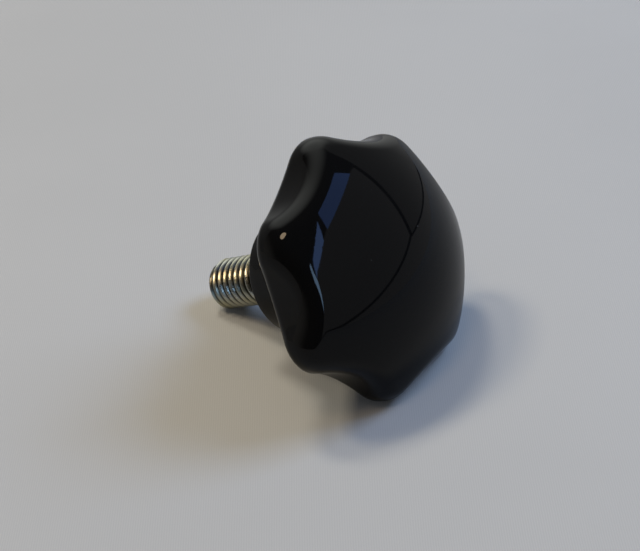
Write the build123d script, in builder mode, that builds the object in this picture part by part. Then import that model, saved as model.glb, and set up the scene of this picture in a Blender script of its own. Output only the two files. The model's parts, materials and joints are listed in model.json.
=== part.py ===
from build123d import *
import math
import os

# Star knob with a moulded-in threaded stud, lying on a bench: millimetres, +Z up.
# It rests on two neighbouring lobes and on the tip of the stud. The knob's axis lies in the XZ plane and rises
# towards +X, and the origin is under the middle of the whole knob, on the bench.
# In the comments, "height" runs along the knob's axis from the hub's end face (0) to the top of the head.

os.makedirs("parts", exist_ok=True)

# ---------- driving dimensions ----------

# outline of the head, seen along the axis
LOBES = 7
TIP_R = 20.0            # axis to lobe tip
VALLEY_R = 17.3         # axis to the bottom of a scallop
LOBE_ARC_R = 4.9        # radius of the arc that forms a lobe

# head, seen from the side
HEAD_H = 25.4           # hub face to the top of the dome
DOME_R = 28.4           # spherical radius of the top
UNDERSIDE_SLOPE = 26.5  # degrees, the underside rises outwards from the hub
RIM_TOP_R = 4.2         # soft rounding between the dome and the scalloped wall
RIM_LOW_R = 2.0         # tighter rounding between the wall and the underside

# hub
HUB_FACE_R = 9.0
HUB_ROOT_R = 9.8
HUB_ROOT_H = 8.6        # height at which the hub meets the underside
HUB_ROOT_FILLET = 1.5
HUB_EDGE_R = 0.5

# stud, M8 x 1.25, modelled at its outer diameter
STUD_R = 4.0
STUD_LENGTH = 16.0      # hub face to the tip
STUD_CHAMFER = 1.2
HELD_R = 3.6            # unthreaded end, held in the moulding
HELD_DEPTH = 13.0
GROOVE_R = 2.9          # ring groove that keeps the stud from pulling out
GROOVE_WIDTH = 2.4
GROOVE_START = 4.0      # height at which the groove starts
FLATS_ACROSS = 5.8      # two flats on the held end keep the stud from turning
FLATS_LENGTH = 5.0

# ---------- derived dimensions ----------

HALF_PITCH = math.pi / LOBES
LOBE_CENTRE_R = TIP_R - LOBE_ARC_R
# The scallop's arc touches both neighbouring lobe arcs and passes through the valley point.
lobe_offset = LOBE_CENTRE_R * math.cos(HALF_PITCH)
SCALLOP_ARC_R = (LOBE_ARC_R**2 - LOBE_CENTRE_R**2 - VALLEY_R**2 + 2 * lobe_offset * VALLEY_R) / (
    2 * (VALLEY_R - lobe_offset - LOBE_ARC_R)
)
SCALLOP_CENTRE_R = VALLEY_R + SCALLOP_ARC_R
DOME_CENTRE_H = HEAD_H - DOME_R
SLOPE = math.radians(UNDERSIDE_SLOPE)
MARGIN = 1.0            # how far cutting shapes run past the material


def polar(radius, angle):
    """A point at this radius and angle, in radians, about the axis."""
    return (radius * math.cos(angle), radius * math.sin(angle))


def underside_height(radius):
    """Height of the conical underside at this distance from the axis."""
    return HUB_ROOT_H + (radius - HUB_ROOT_R) * math.tan(SLOPE)


def lobe_low_point(tilt):
    """Lowest point of a resting lobe below the hub face's centre, for an axis raised by tilt, in radians.

    The lower rim is the path of a ball of radius RIM_LOW_R that touches the wall and the underside.
    """
    lowest = 0.0
    steps = 400
    for step in range(steps + 1):
        turn = -HALF_PITCH + 2 * HALF_PITCH * step / steps
        down = LOBE_CENTRE_R * math.cos(HALF_PITCH) + (LOBE_ARC_R - RIM_LOW_R) * math.cos(turn)
        aside = LOBE_CENTRE_R * math.sin(HALF_PITCH) + (LOBE_ARC_R - RIM_LOW_R) * math.sin(turn)
        height = underside_height(math.hypot(down, aside)) + RIM_LOW_R / math.cos(SLOPE)
        level = height * math.sin(tilt) - down * math.cos(tilt) - RIM_LOW_R
        lowest = min(lowest, level)
    return lowest


def stud_low_point(tilt):
    """Lowest point of the stud's chamfered tip below the hub face's centre."""
    return -STUD_R * math.cos(tilt) - (STUD_LENGTH - STUD_CHAMFER) * math.sin(tilt)


def resting_tilt():
    """The tilt at which the lobes and the tip touch the bench together, found by halving."""
    low = 0.0
    high = math.pi / 3
    for _ in range(50):
        middle = (low + high) / 2
        if lobe_low_point(middle) < stud_low_point(middle):
            low = middle
        else:
            high = middle
    return middle


TILT = resting_tilt()
HUB_FACE_Z = -stud_low_point(TILT)

# The lowest X is on the stud's tip corner and the highest X is on the dome, a ball about a point on the axis.
TIP_X = -STUD_LENGTH * math.cos(TILT) - (STUD_R - STUD_CHAMFER) * math.sin(TILT)
NOSE_X = DOME_CENTRE_H * math.cos(TILT) + DOME_R
HUB_FACE_X = -(TIP_X + NOSE_X) / 2

AXIS = Vector(math.cos(TILT), 0, math.sin(TILT))
DOWNWARD = Vector(math.sin(TILT), 0, -math.cos(TILT))
HUB_CENTRE = Vector(HUB_FACE_X, 0, HUB_FACE_Z)

# Sketches of the outline: local X points down to the bench, between the two resting lobes.
across = Plane(origin=HUB_CENTRE, x_dir=DOWNWARD, z_dir=AXIS)
# Sketches of a section through the axis: local X is the radius and local Y is the height.
section = Plane(origin=HUB_CENTRE, x_dir=DOWNWARD, z_dir=-Vector(0, 1, 0))
knob_axis = Axis(HUB_CENTRE, AXIS)

# ---------- threaded stud ----------

with BuildPart() as threaded_stud:
    with BuildSketch(section):
        with BuildLine():
            Polyline(
                (0, -STUD_LENGTH),
                (STUD_R - STUD_CHAMFER, -STUD_LENGTH),
                (STUD_R, -STUD_LENGTH + STUD_CHAMFER),
                (STUD_R, 0),
                (HELD_R, STUD_R - HELD_R),
                (HELD_R, GROOVE_START),
                (GROOVE_R, GROOVE_START + HELD_R - GROOVE_R),
                (GROOVE_R, GROOVE_START + GROOVE_WIDTH - HELD_R + GROOVE_R),
                (HELD_R, GROOVE_START + GROOVE_WIDTH),
                (HELD_R, HELD_DEPTH),
                (0, HELD_DEPTH),
                close=True,
            )
        make_face()
    revolve(axis=knob_axis)
    # two flats at the held end
    with BuildSketch(across.offset(HELD_DEPTH - FLATS_LENGTH)):
        Circle(HELD_R + MARGIN)
        Rectangle(2 * (HELD_R + MARGIN), FLATS_ACROSS, mode=Mode.SUBTRACT)
    extrude(amount=FLATS_LENGTH + MARGIN, mode=Mode.SUBTRACT)

threaded_stud.part.label = "threaded_stud"

# ---------- star handle ----------

# Where a lobe arc passes into a scallop arc, measured from the lobe's own direction.
scallop_centre = Vector(polar(SCALLOP_CENTRE_R, HALF_PITCH))
lobe_centre = Vector(LOBE_CENTRE_R, 0)
touch_point = lobe_centre + (scallop_centre - lobe_centre).normalized() * LOBE_ARC_R
TOUCH_R = touch_point.length
TOUCH_ANGLE = math.atan2(touch_point.Y, touch_point.X)

with BuildPart() as star_handle:
    # the wavy outline: each lobe's arc, then the scallop's arc to the next lobe
    with BuildSketch(across):
        with BuildLine():
            for lobe in range(LOBES):
                middle = HALF_PITCH + 2 * HALF_PITCH * lobe
                following = middle + 2 * HALF_PITCH
                ThreePointArc(
                    polar(TOUCH_R, middle - TOUCH_ANGLE),
                    polar(TIP_R, middle),
                    polar(TOUCH_R, middle + TOUCH_ANGLE),
                )
                ThreePointArc(
                    polar(TOUCH_R, middle + TOUCH_ANGLE),
                    polar(VALLEY_R, middle + HALF_PITCH),
                    polar(TOUCH_R, following - TOUCH_ANGLE),
                )
        make_face()
    extrude(amount=HEAD_H + MARGIN)

    # half section: hub, sloping underside and dome, running past the lobe tips
    reach = TIP_R + MARGIN
    with BuildSketch(section):
        with BuildLine():
            Polyline(
                (0, HEAD_H),
                (0, 0),
                (HUB_FACE_R, 0),
                (HUB_ROOT_R, HUB_ROOT_H),
                (reach, underside_height(reach)),
            )
            dome_edge_h = DOME_CENTRE_H + math.sqrt(DOME_R**2 - reach**2)
            Line((reach, underside_height(reach)), (reach, dome_edge_h))
            RadiusArc((reach, dome_edge_h), (0, HEAD_H), -DOME_R)
        make_face()
    revolve(axis=knob_axis, mode=Mode.INTERSECT)
    # the wavy rims: the wall meets the underside below and the dome above
    dome = star_handle.faces().filter_by(GeomType.SPHERE).sort_by(knob_axis)[-1]
    fillet(dome.edges().filter_by(GeomType.BSPLINE), radius=RIM_TOP_R)
    underside = star_handle.faces().filter_by(GeomType.CONE).sort_by(knob_axis)[-1]
    fillet(underside.edges().filter_by(GeomType.BSPLINE), radius=RIM_LOW_R)
    # the hub's root and its end face
    hub_circles = star_handle.edges().filter_by(GeomType.CIRCLE).sort_by(knob_axis)
    fillet(hub_circles[1], radius=HUB_ROOT_FILLET)
    fillet(hub_circles[0], radius=HUB_EDGE_R)
    # the pocket that the plastic forms round the held end of the stud
    add(threaded_stud.part, mode=Mode.SUBTRACT)

star_handle.part.label = "star_handle"

export_step(threaded_stud.part, "parts/threaded_stud.step")
export_step(star_handle.part, "parts/star_handle.step")
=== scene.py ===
"""A black star knob with a moulded-in threaded stud, lying on a pale bench.

The file is laid out as an add-on: each piece and the stage has its own operator, and the sizes and colours that a
user would change are properties. The pieces are modelled upright about their own axis, with the hub's end face at
height 0 and the head above it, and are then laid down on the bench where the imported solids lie.
"""

import json
import math

import bmesh
import bpy
from mathutils import Matrix, Vector


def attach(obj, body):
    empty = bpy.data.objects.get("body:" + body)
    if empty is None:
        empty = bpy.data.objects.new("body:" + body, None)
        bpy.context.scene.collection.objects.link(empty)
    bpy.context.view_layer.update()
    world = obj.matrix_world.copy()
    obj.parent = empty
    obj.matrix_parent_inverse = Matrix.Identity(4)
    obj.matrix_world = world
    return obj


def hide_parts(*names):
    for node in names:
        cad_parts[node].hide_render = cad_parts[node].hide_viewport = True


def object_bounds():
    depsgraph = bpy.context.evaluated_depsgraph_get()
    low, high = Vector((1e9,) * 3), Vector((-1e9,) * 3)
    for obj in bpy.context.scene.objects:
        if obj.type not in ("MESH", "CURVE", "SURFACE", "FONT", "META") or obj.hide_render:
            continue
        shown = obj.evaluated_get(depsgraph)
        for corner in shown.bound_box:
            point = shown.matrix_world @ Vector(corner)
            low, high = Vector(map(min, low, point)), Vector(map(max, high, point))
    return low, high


bl_info = {
    "name": "Star Knob",
    "version": (1, 0, 0),
    "blender": (4, 5, 0),
    "location": "View3D > Sidebar > Star Knob",
    "description": "Builds a moulded star knob with a threaded stud, and the bench it lies on",
    "category": "Object",
}

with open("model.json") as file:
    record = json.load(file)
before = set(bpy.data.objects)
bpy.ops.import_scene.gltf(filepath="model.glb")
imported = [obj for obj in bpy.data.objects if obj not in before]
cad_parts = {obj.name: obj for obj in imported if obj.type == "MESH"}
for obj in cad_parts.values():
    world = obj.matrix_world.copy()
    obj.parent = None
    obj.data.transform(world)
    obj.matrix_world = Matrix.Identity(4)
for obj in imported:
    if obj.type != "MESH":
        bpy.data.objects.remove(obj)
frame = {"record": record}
SOLID_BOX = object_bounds()
MM = 0.001
# Points nearer than this are one point.
WELD = 1e-7


# ---------- where the knob lies ----------

MOUNTS = {mount["name"]: mount for mount in frame["record"]["mounts"]}
STUD_MOUNT = MOUNTS["stud"]
STUD_RADIUS = STUD_MOUNT["dims"]["r_mm"] * MM
STUD_WALL = STUD_MOUNT["dims"]["length_mm"] * MM
KNOB_AXIS = -Vector(STUD_MOUNT["axis"]).normalized()
HUB_CENTRE = Vector(STUD_MOUNT["pos_m"]) + KNOB_AXIS * STUD_WALL / 2
OBJECT_MIDDLE = (SOLID_BOX[0] + SOLID_BOX[1]) / 2


def lying_down():
    """The matrix that takes the upright model to its place on the bench.

    Local Z becomes the knob's axis, and local X points down between the two lobes that touch the bench.
    """
    sideways = Vector((0, 1, 0))
    downward = sideways.cross(KNOB_AXIS)
    turn = Matrix((downward, sideways, KNOB_AXIS)).transposed().to_4x4()
    return Matrix.Translation(HUB_CENTRE) @ turn


# ---------- sizes and colours that a user would change ----------


def length(name, description, millimetres):
    return bpy.props.FloatProperty(
        name=name, description=description, default=millimetres * MM, unit="LENGTH", min=0.0, precision=5
    )


def angle(name, description, degrees):
    return bpy.props.FloatProperty(
        name=name, description=description, default=math.radians(degrees), subtype="ANGLE"
    )


def colour(name, description, value):
    return bpy.props.FloatVectorProperty(
        name=name, description=description, default=value, size=3, min=0.0, max=1.0, subtype="COLOR"
    )


class StarHandleSettings(bpy.types.PropertyGroup):
    """Shape and finish of the moulded head and hub."""

    lobes: bpy.props.IntProperty(name="Lobes", description="Number of lobes round the head", default=7, min=3)
    tip_radius: length("Tip radius", "Axis to the tip of a lobe", 20.0)
    valley_radius: length("Valley radius", "Axis to the bottom of a scallop", 17.3)
    lobe_arc: length("Lobe arc", "Radius of the arc that forms a lobe", 4.9)
    height: length("Height", "Hub face to the top of the dome", 25.4)
    dome_radius: length("Dome radius", "Spherical radius of the top", 28.4)
    slope: angle("Underside slope", "How steeply the underside rises outwards", 26.5)
    top_round: length("Top rim rounding", "Between the dome and the wall", 4.2)
    low_round: length("Low rim rounding", "Between the wall and the underside", 2.0)
    hub_face_radius: length("Hub face radius", "Radius of the hub at its end", 9.0)
    hub_root_radius: length("Hub root radius", "Radius of the hub where it meets the underside", 9.8)
    hub_root_height: length("Hub root height", "Hub face to the underside", 8.6)
    hub_root_round: length("Hub root rounding", "Between the hub and the underside", 1.5)
    hub_edge_round: length("Hub edge rounding", "Round the hub's end face", 0.5)
    plastic: colour("Plastic", "Colour of the black moulding", (0.0046, 0.0046, 0.0048))


class ThreadedStudSettings(bpy.types.PropertyGroup):
    """Shape and finish of the threaded stud."""

    length: length("Length", "Hub face to the tip", 16.0)
    pitch: length("Pitch", "Distance between neighbouring crests", 1.25)
    depth: length("Thread depth", "Crest to root", 0.767)
    chamfer: length("Tip chamfer", "Chamfer at the tip", 1.2)
    held_radius: length("Held radius", "Radius of the end inside the moulding", 3.6)
    held_depth: length("Held depth", "How far the stud reaches into the moulding", 13.0)
    groove_radius: length("Groove radius", "Radius at the bottom of the ring groove", 2.9)
    groove_width: length("Groove width", "Width of the ring groove", 2.4)
    groove_start: length("Groove start", "Hub face to the ring groove", 4.0)
    zinc: colour("Zinc", "Colour of the plating", (0.66, 0.67, 0.60))


class StageSettings(bpy.types.PropertyGroup):
    """Bench, camera and lights."""

    bench: colour("Bench", "Colour of the bench top", (0.62, 0.62, 0.61))
    bench_radius: length("Bench radius", "Size of the bench top", 420.0)
    azimuth: angle("View azimuth", "Direction of the camera round the knob", -52.12)
    elevation: angle("View elevation", "Height of the camera above the bench, as an angle", 34.58)
    roll: angle("View roll", "Lean of the camera", -4.99)
    distance: length("View distance", "Camera to the middle of the knob", 209.4)
    lens: bpy.props.FloatProperty(
        name="Lens", description="Focal length on a 36 mm wide frame", default=80.3, unit="CAMERA"
    )
    aim_right: angle("Aim right", "Turn of the view to the right of the knob's middle", 0.03)
    aim_up: angle("Aim up", "Turn of the view above the knob's middle", -1.18)


# ---------- shader maths ----------


class Value:
    """A node socket that can be used in plain expressions."""

    def __init__(self, recipe, socket):
        self.recipe = recipe
        self.socket = socket

    def maths(self, operation, *others):
        return self.recipe.node("ShaderNodeMath", {"operation": operation}, dict(enumerate((self, *others))))

    def __add__(self, other):
        return self.maths("ADD", other)

    def __radd__(self, other):
        return self.maths("ADD", other)

    def __sub__(self, other):
        return self.maths("SUBTRACT", other)

    def __rsub__(self, other):
        return self.recipe.node("ShaderNodeMath", {"operation": "SUBTRACT"}, {0: other, 1: self})

    def __mul__(self, other):
        return self.maths("MULTIPLY", other)

    def __rmul__(self, other):
        return self.maths("MULTIPLY", other)


class Recipe:
    """Makes the nodes of one material or of the world."""

    def __init__(self, tree):
        self.tree = tree
        tree.nodes.clear()

    def node(self, kind, settings=None, sockets=None, output=0):
        """A node with its settings made first and then its sockets filled. The chosen output is returned."""
        made = self.tree.nodes.new(kind)
        for name, value in (settings or {}).items():
            setattr(made, name, value)
        for name, value in (sockets or {}).items():
            if isinstance(value, Value):
                self.tree.links.new(value.socket, made.inputs[name])
            else:
                made.inputs[name].default_value = value
        return Value(self, made.outputs[output]) if made.outputs else made

    def coordinates(self, kind="Object"):
        return self.node("ShaderNodeTexCoord", output=kind)

    def step(self, value, low, high):
        """0 below low, 1 above high, and smooth between."""
        return self.node(
            "ShaderNodeMapRange",
            {"interpolation_type": "SMOOTHSTEP"},
            {"Value": value, "From Min": low, "From Max": high},
        )

    def blend(self, factor, first, second):
        """A mix of two colours."""
        return self.node(
            "ShaderNodeMix", {"data_type": "RGBA"}, {"Factor": factor, 6: first, 7: second}, output=2
        )

    def along(self, vector, direction):
        """How far a vector reaches in a direction."""
        return self.node(
            "ShaderNodeVectorMath", {"operation": "DOT_PRODUCT"}, {0: vector, 1: direction}, output="Value"
        )

    def speckle(self, vector, scale, detail=2.0, roughness=0.5):
        return self.node(
            "ShaderNodeTexNoise",
            sockets={"Vector": vector, "Scale": scale, "Detail": detail, "Roughness": roughness},
        )


def opaque(shade):
    """A colour with its full alpha."""
    return (*shade, 1.0)


def facing(azimuth, elevation):
    """The unit vector at this azimuth from +X and this elevation, in degrees."""
    turn = math.radians(azimuth)
    rise = math.radians(elevation)
    return Vector((math.cos(rise) * math.cos(turn), math.cos(rise) * math.sin(turn), math.sin(rise)))


def new_material(name):
    """A material and the recipe that fills it."""
    material = bpy.data.materials.new(name)
    material.use_nodes = True
    return material, Recipe(material.node_tree)


# ---------- finishes ----------

# The bench's ribs run away from the camera, a third of a millimetre apart.
RIB_TURN = math.radians(-36)
RIB_SCALE = 950.0
RIB_TONE = (0.30, 0.30, 0.31)

# Sizes of the surface patterns: the larger the number, the finer the pattern.
HAZE_SCALE = 90.0
DUST_SCALE = 900.0
RIPPLE_SCALE = 2600.0
CAST_SCALE = 260.0
GRAIN_SCALE = 3200.0
CLOUD_SCALE = 9.0

POLISHED = 0.03
BRIGHT_ZINC = 0.27
DUST_TONE = (0.05, 0.05, 0.05)
YELLOW_CAST = (0.62, 0.60, 0.43)
# Painted shade: the dark colour laid into the thread's root, where shade falls.
PAINTED_ROOT_SHADE = (0.085, 0.080, 0.064)
BLACK = (0.0, 0.0, 0.0)


def black_moulding(shade):
    """Polished black thermoset: mirror gloss, faint handling haze, a few specks of dust."""
    material, recipe = new_material("black_moulding")
    place = recipe.coordinates()
    haze = recipe.step(recipe.speckle(place, HAZE_SCALE, detail=3.0), 0.45, 0.8)
    fine = recipe.speckle(place, RIPPLE_SCALE)
    dust = recipe.step(recipe.speckle(place, DUST_SCALE, detail=1.0), 0.80, 0.86)
    roughness = POLISHED + haze * 0.04 + dust * 0.3
    base = recipe.blend(dust, opaque(shade), opaque(DUST_TONE))
    ripple = recipe.node(
        "ShaderNodeBump", sockets={"Strength": 0.02, "Distance": 0.02 * MM, "Height": fine}
    )
    shader = recipe.node(
        "ShaderNodeBsdfPrincipled",
        sockets={
            "Base Color": base,
            "Roughness": roughness,
            "IOR": 1.5,
            "Specular IOR Level": 0.2,
            "Normal": ripple,
        },
    )
    recipe.node("ShaderNodeOutputMaterial", sockets={"Surface": shader})
    return material


def zinc_plating(shade, stud):
    """Bright zinc on rolled steel: a slight yellow-green cast on the flanks, and painted shade that darkens the
    thread's root.
    """
    material, recipe = new_material("zinc_plating")
    depth = stud.depth
    place = recipe.coordinates()
    centred = recipe.node(
        "ShaderNodeVectorMath", {"operation": "SUBTRACT"}, {0: place, 1: HUB_CENTRE}, output="Vector"
    )
    along_axis = recipe.along(centred, KNOB_AXIS)
    foot = recipe.node(
        "ShaderNodeVectorMath", {"operation": "SCALE"}, {0: KNOB_AXIS, "Scale": along_axis}, output="Vector"
    )
    radius = recipe.node(
        "ShaderNodeVectorMath", {"operation": "DISTANCE"}, {0: centred, 1: foot}, output="Value"
    )
    crest = recipe.step(radius, STUD_RADIUS - 0.62 * depth, STUD_RADIUS - 0.24 * depth)
    tip = recipe.step(along_axis, -stud.length + 0.4 * MM, -stud.length + 0.1 * MM)
    bright = crest.maths("MAXIMUM", tip)
    cast = recipe.step(recipe.speckle(place, CAST_SCALE, detail=3.0), 0.35, 0.7)
    flank = recipe.blend(cast, opaque(shade), opaque(YELLOW_CAST))
    # The thread's root is painted dark as shade; the crests and the tip keep the flank colour.
    base = recipe.blend(bright, opaque(PAINTED_ROOT_SHADE), flank)
    grain = recipe.speckle(place, GRAIN_SCALE)
    rolled = recipe.node("ShaderNodeBump", sockets={"Strength": 0.2, "Distance": 0.03 * MM, "Height": grain})
    roughness = BRIGHT_ZINC + cast * 0.06
    shader = recipe.node(
        "ShaderNodeBsdfPrincipled",
        sockets={"Base Color": base, "Metallic": 1.0, "Roughness": roughness, "Normal": rolled},
    )
    recipe.node("ShaderNodeOutputMaterial", sockets={"Surface": shader})
    return material


def bench_top(shade):
    """A pale matt sheet with fine ribs. It shows a little dimmer where something mirrors it."""
    material, recipe = new_material("bench_top")
    place = recipe.coordinates()
    cloud = recipe.speckle(place, CLOUD_SCALE, detail=4.0)
    turned = recipe.node(
        "ShaderNodeMapping", sockets={"Vector": place, "Rotation": (0.0, 0.0, RIB_TURN)}, output="Vector"
    )
    rib = recipe.node(
        "ShaderNodeTexWave",
        {"wave_type": "BANDS", "bands_direction": "X"},
        {"Vector": turned, "Scale": RIB_SCALE, "Distortion": 0.6},
        output="Fac",
    )
    mirrored = recipe.node("ShaderNodeLightPath", output="Is Glossy Ray")
    tone = tuple(0.95 * part for part in shade)
    base = recipe.blend(recipe.step(cloud, 0.35, 0.7), opaque(shade), opaque(tone))
    base = recipe.blend(rib * 0.13, base, opaque(RIB_TONE))
    base = recipe.blend(mirrored * 0.36, base, opaque(BLACK))
    weave = recipe.node("ShaderNodeBump", sockets={"Strength": 0.2, "Distance": 0.04 * MM, "Height": rib})
    shader = recipe.node(
        "ShaderNodeBsdfPrincipled",
        sockets={"Base Color": base, "Roughness": 0.85, "Specular IOR Level": 0.2, "Normal": weave},
    )
    recipe.node("ShaderNodeOutputMaterial", sockets={"Surface": shader})
    return material


def glowing_card(name, shade, strength):
    """A plain glow for what the gloss mirrors."""
    material, recipe = new_material(name)
    glow = recipe.node("ShaderNodeEmission", sockets={"Color": opaque(shade), "Strength": strength})
    recipe.node("ShaderNodeOutputMaterial", sockets={"Surface": glow})
    return material


# ---------- mesh helpers ----------


def finished_piece(name, shape, material, crease_degrees=40.0):
    """An object from an upright bmesh, laid down on the bench and shaded smooth up to its sharp edges."""
    bmesh.ops.remove_doubles(shape, verts=shape.verts, dist=WELD)
    bmesh.ops.transform(shape, matrix=lying_down(), verts=shape.verts)
    bmesh.ops.recalc_face_normals(shape, faces=shape.faces)
    mesh = bpy.data.meshes.new(name)
    shape.to_mesh(mesh)
    shape.free()
    mesh.shade_smooth()
    mesh.set_sharp_from_angle(angle=math.radians(crease_degrees))
    mesh.materials.append(material)
    piece = bpy.data.objects.new(name, mesh)
    bpy.context.scene.collection.objects.link(piece)
    return piece


def chain(shape, points):
    """A chain of edges through these points of the XZ plane. Each vertex is numbered along it."""
    order = shape.verts.layers.int.new("order")
    verts = [shape.verts.new((x, 0.0, z)) for x, z in points]
    for index, vert in enumerate(verts):
        vert[order] = index
    edges = [shape.edges.new(pair) for pair in zip(verts, verts[1:])]
    return verts, edges, order


def swing(start, end, amount):
    """The unit vector part of the way round from one unit vector to another."""
    return start.slerp(end, amount)


def fractions(count, first=0):
    """Even steps up to 1, from step number first."""
    return [step / count for step in range(first, count + 1)]


def rounded_corner(before, corner, after, radius, steps):
    """Points of the arc that rounds a corner of a section."""
    inward = (before - corner).normalized()
    outward = (after - corner).normalized()
    half = inward.angle(outward) / 2
    reach = radius / math.tan(half)
    centre = corner + (inward + outward).normalized() * radius / math.sin(half)
    start = corner + inward * reach - centre
    end = corner + outward * reach - centre
    turn = start.angle_signed(end)
    points = []
    for part in fractions(steps):
        spin = Matrix.Rotation(-turn * part, 2)
        points.append(centre + spin @ start)
    return points


# ---------- star handle ----------


class Outline:
    """The wavy outline of the head: lobe arcs joined by scallop arcs that touch them."""

    def __init__(self, settings):
        self.half = math.pi / settings.lobes
        self.lobe_arc = settings.lobe_arc
        self.lobe_centre = settings.tip_radius - settings.lobe_arc
        valley = settings.valley_radius
        offset = self.lobe_centre * math.cos(self.half)
        over = self.lobe_arc**2 - self.lobe_centre**2 - valley**2 + 2 * offset * valley
        self.scallop_arc = over / (2 * (valley - offset - self.lobe_arc))
        self.scallop_centre = valley + self.scallop_arc
        touch = Vector((self.scallop_centre * math.cos(self.half), self.scallop_centre * math.sin(self.half)))
        lobe = Vector((self.lobe_centre, 0.0))
        touch = lobe + (touch - lobe).normalized() * self.lobe_arc
        self.touch_angle = math.atan2(touch.y, touch.x)

    def at(self, turn):
        """The point and the outward direction of the outline at this turn about the axis."""
        lobe_turn = self.half + 2 * self.half * math.floor(turn / (2 * self.half))
        ray = Vector((math.cos(turn), math.sin(turn), 0.0))
        if abs(turn - lobe_turn) <= self.touch_angle:
            centre = Vector((math.cos(lobe_turn), math.sin(lobe_turn), 0.0)) * self.lobe_centre
            along = centre.dot(ray)
            aside = centre.length_squared - along**2
            point = ray * (along + math.sqrt(self.lobe_arc**2 - aside))
            return point, (point - centre).normalized()
        scallop_turn = 2 * self.half * round(turn / (2 * self.half))
        centre = Vector((math.cos(scallop_turn), math.sin(scallop_turn), 0.0)) * self.scallop_centre
        along = centre.dot(ray)
        aside = centre.length_squared - along**2
        point = ray * (along - math.sqrt(self.scallop_arc**2 - aside))
        return point, (centre - point).normalized()


class Meridian:
    """The section of the head and hub at one turn about the axis, always with the same number of points."""

    DOME_STEPS = 34
    TOP_STEPS = 16
    WALL_STEPS = 3
    LOW_STEPS = 10
    UNDER_STEPS = 8
    ROUND_STEPS = 6

    def __init__(self, settings, stud):
        self.s = settings
        self.outline = Outline(settings)
        self.dome_centre = Vector((0.0, 0.0, settings.height - settings.dome_radius))
        self.inner = self.hub_points(stud)

    def underside(self, radius):
        return self.s.hub_root_height + (radius - self.s.hub_root_radius) * math.tan(self.s.slope)

    def hub_points(self, stud):
        """Radius and height of each point from the hub's root to the end of the stud's pocket."""
        s = self.s
        root = Vector((s.hub_root_radius, s.hub_root_height))
        face = Vector((s.hub_face_radius, 0.0))
        slope_point = Vector((s.valley_radius, self.underside(s.valley_radius)))
        mouth = Vector((STUD_RADIUS, 0.0))
        points = rounded_corner(slope_point, root, face, s.hub_root_round, self.ROUND_STEPS)
        points += [root.lerp(face, part) for part in (0.4, 0.6, 0.8)]
        points += rounded_corner(root, face, mouth, s.hub_edge_round, self.ROUND_STEPS)
        points += [face.lerp(mouth, part) for part in (0.3, 0.6, 0.9)]
        points.append(mouth)
        points += held_end(stud)
        return points

    def points(self, turn):
        """All points at this turn, from the top of the dome to the end of the pocket."""
        s = self.s
        edge, outward = self.outline.at(turn)
        top = Vector((0.0, 0.0, 1.0))

        spine = edge - outward * s.top_round
        inner_radius = s.dome_radius - s.top_round
        rise = math.sqrt(inner_radius**2 - spine.length_squared)
        spine.z = self.dome_centre.z + rise
        crown = (spine - self.dome_centre).normalized()
        found = [self.dome_centre + swing(top, crown, part) * s.dome_radius for part in fractions(self.DOME_STEPS)]
        found += [spine + swing(crown, outward, part) * s.top_round for part in fractions(self.TOP_STEPS, 1)]

        low_spine = edge - outward * s.low_round
        radial = low_spine.normalized()
        low_spine.z = self.underside(low_spine.length) + s.low_round / math.cos(s.slope)
        beneath = radial * math.sin(s.slope) - top * math.cos(s.slope)
        wall_end = low_spine + outward * s.low_round
        wall_start = found[-1]
        found += [wall_start.lerp(wall_end, part) for part in fractions(self.WALL_STEPS, 1)]
        found += [low_spine + swing(outward, beneath, part) * s.low_round for part in fractions(self.LOW_STEPS, 1)]

        around = Vector((math.cos(turn), math.sin(turn), 0.0))
        hub = [around * radius + top * height for radius, height in self.inner]
        under = found[-1]
        found += [under.lerp(hub[0], part) for part in fractions(self.UNDER_STEPS, 1)[:-1]]
        return found + hub


def held_end(stud):
    """Radius and height of the points of the stud's held end, from the hub's face inwards."""
    held = stud.held_radius
    groove = stud.groove_radius
    start = stud.groove_start
    end = start + stud.groove_width
    step = held - groove
    return [
        Vector((held, STUD_RADIUS - held)),
        Vector((held, start)),
        Vector((groove, start + step)),
        Vector((groove, end - step)),
        Vector((held, end)),
        Vector((held, stud.held_depth)),
        Vector((0.0, stud.held_depth)),
    ]


class KNOB_OT_star_handle(bpy.types.Operator):
    """Build the moulded head with its lobes, underside and hub as one closed shell"""

    bl_idname = "star_knob.star_handle"
    bl_label = "Star Handle"

    COLUMNS_PER_LOBE = 44

    def execute(self, context):
        settings = context.scene.star_handle
        meridian = Meridian(settings, context.scene.threaded_stud)
        columns = self.COLUMNS_PER_LOBE * settings.lobes
        shape = bmesh.new()
        first = meridian.points(0.0)
        verts, edges, order = chain(shape, [(point.x, point.z) for point in first])
        bmesh.ops.spin(
            shape,
            geom=verts + edges,
            cent=(0, 0, 0),
            axis=(0, 0, 1),
            angle=2 * math.pi,
            steps=columns,
            use_merge=True,
        )
        # The spun body is round. Each column of it now takes the section that the wavy outline gives it there.
        sections = {}
        for vert in shape.verts:
            if vert.co.xy.length < WELD:
                continue
            column = round(math.atan2(vert.co.y, vert.co.x) % (2 * math.pi) / (2 * math.pi) * columns) % columns
            if column not in sections:
                sections[column] = meridian.points(2 * math.pi * column / columns)
            vert.co = sections[column][vert[order]]
        piece = finished_piece("moulded_handle", shape, black_moulding(settings.plastic))
        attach(piece, "root")
        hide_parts("star_handle")
        return {"FINISHED"}


# ---------- threaded stud ----------


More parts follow.
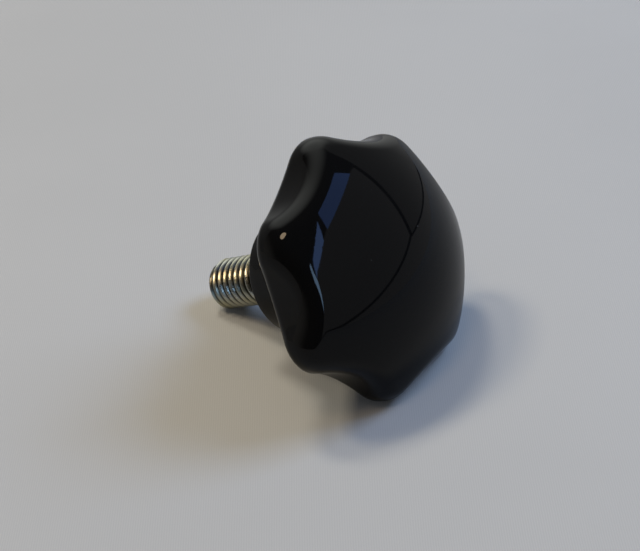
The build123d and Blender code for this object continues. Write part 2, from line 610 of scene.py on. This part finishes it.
class KNOB_OT_threaded_stud(bpy.types.Operator):
    """Build the zinc-plated stud with its real helical thread, chamfered tip and held end"""

    bl_idname = "star_knob.threaded_stud"
    bl_label = "Threaded Stud"

    COLUMNS = 120
    # Rings of the tip's face, as parts of its radius.
    TIP_RINGS = (0.94, 0.6, 0.3)

    def tooth(self, stud):
        """Radius and height of the points of one pitch of thread, as parts of depth and pitch."""
        crest = 1.0
        shape = [(0.0, crest), (0.05, crest), (0.09, crest - 0.03), (0.30, 0.42), (0.41, 0.13), (0.46, 0.03)]
        shape += [(0.52, 0.0), (0.58, 0.03), (0.63, 0.13), (0.74, 0.42), (0.95, crest - 0.03)]
        root = STUD_RADIUS - stud.depth
        return [(root + part * stud.depth, place * stud.pitch) for place, part in shape]

    def execute(self, context):
        stud = context.scene.threaded_stud
        shape = bmesh.new()
        turns = math.ceil(stud.length / stud.pitch) + 2
        tooth = self.tooth(stud)
        low = -stud.length - stud.pitch
        points = [(radius, low + turn * stud.pitch + height) for turn in range(turns) for radius, height in tooth]
        verts, edges, _ = chain(shape, points)
        bmesh.ops.spin(
            shape,
            geom=verts + edges,
            cent=(0, 0, 0),
            axis=(0, 0, 1),
            dvec=(0, 0, stud.pitch / self.COLUMNS),
            angle=2 * math.pi,
            steps=self.COLUMNS,
        )
        bmesh.ops.remove_doubles(shape, verts=shape.verts, dist=10 * WELD)
        runout = STUD_RADIUS - stud.held_radius
        for vert in shape.verts:
            radius = vert.co.xy.length
            cone = STUD_RADIUS - stud.chamfer + (vert.co.z + stud.length)
            wanted = min(radius, max(cone, stud.depth))
            fade = min(max(vert.co.z / runout, 0.0), 1.0)
            wanted += (stud.held_radius - wanted) * fade
            vert.co.x *= wanted / radius
            vert.co.y *= wanted / radius
        self.cut(shape, -stud.length, (0, 0, -1))
        self.cut(shape, runout, (0, 0, 1))
        self.close_tip(shape, stud)
        self.add_held_end(shape, stud)
        piece = finished_piece("zinc_stud", shape, zinc_plating(stud.zinc, stud), crease_degrees=50.0)
        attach(piece, "root")
        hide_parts("threaded_stud")
        return {"FINISHED"}

    def cut(self, shape, height, outward):
        """Cuts the stud square at this height and drops what lies outside."""
        bmesh.ops.bisect_plane(
            shape,
            geom=shape.verts[:] + shape.edges[:] + shape.faces[:],
            dist=WELD,
            plane_co=(0, 0, height),
            plane_no=outward,
            clear_outer=True,
        )

    def rim(self, shape, height):
        """The open edges at this height."""
        return [
            edge
            for edge in shape.edges
            if edge.is_boundary and all(abs(vert.co.z - height) < 10 * WELD for vert in edge.verts)
        ]

    def extend(self, shape, rim, radius, height):
        """A ring of faces from an open rim to a rim of this radius at this height."""
        grown = bmesh.ops.extrude_edge_only(shape, edges=rim)["geom"]
        for vert in grown:
            if isinstance(vert, bmesh.types.BMVert):
                flat = vert.co.xy.normalized() * radius
                vert.co = (flat.x, flat.y, height)
        return [edge for edge in grown if isinstance(edge, bmesh.types.BMEdge) and edge.is_boundary]

    def close(self, shape, rim):
        """Draws a rim together to its middle."""
        verts = {vert for edge in rim for vert in edge.verts}
        bmesh.ops.pointmerge(shape, verts=list(verts), merge_co=sum((v.co for v in verts), Vector()) / len(verts))

    def close_tip(self, shape, stud):
        rim = self.rim(shape, -stud.length)
        for part in self.TIP_RINGS:
            rim = self.extend(shape, rim, (STUD_RADIUS - stud.chamfer) * part, -stud.length)
        self.close(shape, rim)

    def add_held_end(self, shape, stud):
        rim = self.rim(shape, STUD_RADIUS - stud.held_radius)
        for radius, height in held_end(stud)[1:-1]:
            rim = self.extend(shape, rim, radius, height)
        self.close(shape, rim)


# ---------- stage ----------


class KNOB_OT_stage(bpy.types.Operator):
    """Set out the bench, the room's reflections, the lights and the camera"""

    bl_idname = "star_knob.stage"
    bl_label = "Bench, Lights and Camera"

    # The window that the polished dome mirrors: each pane's shade, strength, and corners seen from the knob as
    # azimuth and elevation in degrees.
    PANES = {
        "upper_pane": ((0.20, 0.37, 0.95), 2.2, ((61, 55), (62, 46.5), (0, 50), (6, 60.5))),
        "middle_pane": ((0.24, 0.42, 0.95), 4.2, ((-2, 57), (-8.5, 46.5), (-27.5, 28.5), (-24, 40))),
        "lower_pane": ((0.42, 0.66, 1.0), 7.0, ((-27.5, 38), (-29, 27), (-36.5, 10.5), (-40.5, 25))),
    }
    CARD_DISTANCE = 0.6
    LIGHT_DISTANCE = 0.8
    # The camera's frame in millimetres, and the point it is aimed from.
    FRAME_WIDTH = 36.0
    VIEW_CENTRE = Vector((0.0, 0.0, 17.0 * MM))
    # Tones of the room as glossy surfaces see it.
    DIM_ROOM = (0.012, 0.012, 0.014)
    LOW_GLOW = (0.30, 0.29, 0.27)
    OPENING_TONE = (0.26, 0.26, 0.265)
    BENCH_TONE = (0.28, 0.28, 0.285)
    DIM_WALL = (0.20, 0.20, 0.20)
    BRIGHT_WALL = (0.44, 0.45, 0.44)
    CEILING = (1.20, 1.24, 1.18)
    # What lights the scene from all round, and what the camera sees past the bench.
    AMBIENT = (0.13, 0.135, 0.145)
    SURROUND = (0.42, 0.42, 0.41)
    LAMP = (-75, 67.5)
    LAMP_RADIUS = 0.085
    LAMP_GLOW = 13.0
    LAMP_SHADE = (1.0, 0.76, 0.50)
    # Normals of the planes through the knob and each straight edge in the room that the polished dome mirrors.
    BACKDROP_SIDE = (-0.585, 0.656, -0.477)
    BACKDROP_FOOT = (-0.27, 0.064, 0.961)
    OPENING_FOOT = (-0.017, -0.188, 0.982)

    def execute(self, context):
        stage = context.scene.star_stage
        self.make_bench(stage)
        for name, (shade, strength, corners) in self.PANES.items():
            self.make_pane(name, shade, strength, corners)
        self.make_lamp_shade()
        self.make_room(context.scene)
        self.make_lights()
        self.make_camera(context.scene, stage)
        context.scene.view_settings.view_transform = "Standard"
        return {"FINISHED"}

    def make_bench(self, stage):
        shape = bmesh.new()
        bmesh.ops.create_circle(shape, cap_ends=True, segments=96, radius=stage.bench_radius)
        mesh = bpy.data.meshes.new("bench")
        shape.to_mesh(mesh)
        shape.free()
        mesh.materials.append(bench_top(stage.bench))
        bench = bpy.data.objects.new("bench", mesh)
        bpy.context.scene.collection.objects.link(bench)

    def make_pane(self, name, shade, strength, corners):
        """A glowing window pane."""
        shape = bmesh.new()
        places = [OBJECT_MIDDLE + facing(*corner) * self.CARD_DISTANCE for corner in corners]
        bmesh.ops.contextual_create(shape, geom=[shape.verts.new(place) for place in places])
        self.mirrored_only(name, shape, glowing_card(name, shade, strength))

    def make_lamp_shade(self):
        """The round glowing shade of a lamp."""
        outward = facing(*self.LAMP)
        place = Matrix.Translation(OBJECT_MIDDLE + outward * self.CARD_DISTANCE)
        turn = outward.to_track_quat("Z", "Y").to_matrix().to_4x4()
        shape = bmesh.new()
        bmesh.ops.create_circle(shape, cap_ends=True, segments=32, radius=self.LAMP_RADIUS, matrix=place @ turn)
        self.mirrored_only("lamp_shade", shape, glowing_card("lamp_shade", self.LAMP_SHADE, self.LAMP_GLOW))

    def mirrored_only(self, name, shape, material):
        """Puts a card on the stage that shows only as a reflection."""
        mesh = bpy.data.meshes.new(name)
        shape.to_mesh(mesh)
        shape.free()
        mesh.materials.append(material)
        card = bpy.data.objects.new(name, mesh)
        card.visible_camera = False
        card.visible_diffuse = False
        card.visible_shadow = False
        bpy.context.scene.collection.objects.link(card)

    def make_room(self, scene):
        """A pale surround, with the dim side of the room behind the camera for glossy surfaces."""
        world = bpy.data.worlds.new("room")
        world.use_nodes = True
        scene.world = world
        recipe = Recipe(world.node_tree)
        ray = recipe.coordinates("Generated")
        path = recipe.node("ShaderNodeLightPath", output="Is Camera Ray")
        glossy = recipe.node("ShaderNodeLightPath", output="Is Glossy Ray")
        rise = recipe.along(ray, (0, 0, 1))
        side = recipe.along(ray, self.BACKDROP_SIDE)
        foot = recipe.along(ray, self.BACKDROP_FOOT)
        sill = recipe.along(ray, self.OPENING_FOOT)
        on_backdrop = recipe.step(side, -0.006, 0.002)
        backdrop = recipe.step(side, 0.016, 0.028) * recipe.step(foot, 0.008, 0.016)
        framed = recipe.step(side, -0.016, -0.028) * recipe.step(sill, 0.014, 0.026)
        below_panes = recipe.step(recipe.along(ray, facing(27, -12)), 0.39, 0.41)
        opening = framed * recipe.step(rise, -0.035, -0.02) * below_panes
        bench_side = recipe.step(foot, 0.0, -0.008) * on_backdrop + recipe.step(sill, 0.0, -0.01) * (1 - on_backdrop)
        bench_side = bench_side * recipe.step(recipe.along(ray, facing(35, 0)), 0.55, 0.62)
        brighter = recipe.step(recipe.along(ray, facing(125, 10)), 0.80, 1.0)
        overhead = recipe.step(recipe.along(ray, facing(140, 48)), 0.80, 0.97)
        haze = recipe.step(recipe.along(ray, facing(-140, -12)), 0.55, 1.0)
        room = recipe.blend(haze, opaque(self.DIM_ROOM), opaque(self.LOW_GLOW))
        room = recipe.blend(opening, room, opaque(self.OPENING_TONE))
        room = recipe.blend(bench_side, room, opaque(self.BENCH_TONE))
        wall = recipe.blend(brighter, opaque(self.DIM_WALL), opaque(self.BRIGHT_WALL))
        room = recipe.blend(backdrop, room, wall)
        room = recipe.blend(overhead, room, opaque(self.CEILING))
        seen = recipe.blend(glossy, opaque(self.AMBIENT), room)
        shown = recipe.blend(path, seen, opaque(self.SURROUND))
        surround = recipe.node("ShaderNodeBackground", sockets={"Color": shown, "Strength": 1.0})
        recipe.node("ShaderNodeOutputWorld", sockets={"Surface": surround})

    def make_light(self, name, direction, size, power, shade):
        """A rectangular lamp that faces the knob, with its size in metres and its power in watts."""
        data = bpy.data.lights.new(name, "AREA")
        data.shape = "RECTANGLE"
        data.size = size[0]
        data.size_y = size[1]
        data.energy = power
        data.color = shade
        light = bpy.data.objects.new(name, data)
        outward = facing(*direction)
        light.location = OBJECT_MIDDLE + outward * self.LIGHT_DISTANCE
        light.rotation_euler = outward.to_track_quat("Z", "Y").to_euler()
        light.visible_camera = False
        light.visible_glossy = False
        bpy.context.scene.collection.objects.link(light)

    def make_lights(self):
        self.make_light("key_left", (204, 61), (0.14, 0.14), 1.45, (1.0, 0.88, 0.66))
        self.make_light("key_back", (162, 68), (0.14, 0.14), 1.45, (1.0, 0.92, 0.76))
        self.make_light("window_sky", (52, 47), (0.34, 0.34), 3.0, (0.45, 0.64, 1.0))
        self.make_light("warm_lamp", self.LAMP, (0.24, 0.14), 0.55, self.LAMP_SHADE)

    def make_camera(self, scene, stage):
        data = bpy.data.cameras.new("camera")
        data.lens = stage.lens
        data.sensor_width = self.FRAME_WIDTH
        data.clip_start = 10 * MM
        camera = bpy.data.objects.new("camera", data)
        outward = facing(math.degrees(stage.azimuth), math.degrees(stage.elevation))
        camera.location = self.VIEW_CENTRE + outward * stage.distance
        looking = (-outward).to_track_quat("-Z", "Y").to_matrix()
        aim = Matrix.Rotation(-stage.aim_right, 3, "Y") @ Matrix.Rotation(stage.aim_up, 3, "X")
        lean = Matrix.Rotation(stage.roll, 3, "Z")
        camera.rotation_euler = (looking @ aim @ lean).to_euler()
        scene.collection.objects.link(camera)
        scene.camera = camera


# ---------- panel and registration ----------


class KNOB_PT_panel(bpy.types.Panel):
    """Buttons and settings of the star knob"""

    bl_idname = "KNOB_PT_panel"
    bl_label = "Star Knob"
    bl_space_type = "VIEW_3D"
    bl_region_type = "UI"
    bl_category = "Star Knob"

    def draw(self, context):
        for operator, settings in BUTTONS:
            box = self.layout.box()
            box.operator(operator.bl_idname)
            group = getattr(context.scene, settings)
            for name in group.bl_rna.properties.keys():
                if name not in ("rna_type", "name"):
                    box.prop(group, name)


GROUPS = {
    "star_handle": StarHandleSettings,
    "threaded_stud": ThreadedStudSettings,
    "star_stage": StageSettings,
}
BUTTONS = (
    (KNOB_OT_star_handle, "star_handle"),
    (KNOB_OT_threaded_stud, "threaded_stud"),
    (KNOB_OT_stage, "star_stage"),
)
CLASSES = (*GROUPS.values(), *(operator for operator, _ in BUTTONS), KNOB_PT_panel)


def register():
    for made in CLASSES:
        bpy.utils.register_class(made)
    for name, group in GROUPS.items():
        setattr(bpy.types.Scene, name, bpy.props.PointerProperty(type=group))


def unregister():
    for name in GROUPS:
        delattr(bpy.types.Scene, name)
    for made in reversed(CLASSES):
        bpy.utils.unregister_class(made)


def main():
    register()
    bpy.ops.star_knob.star_handle()
    bpy.ops.star_knob.threaded_stud()
    bpy.ops.star_knob.stage()


if __name__ == "__main__":
    main()
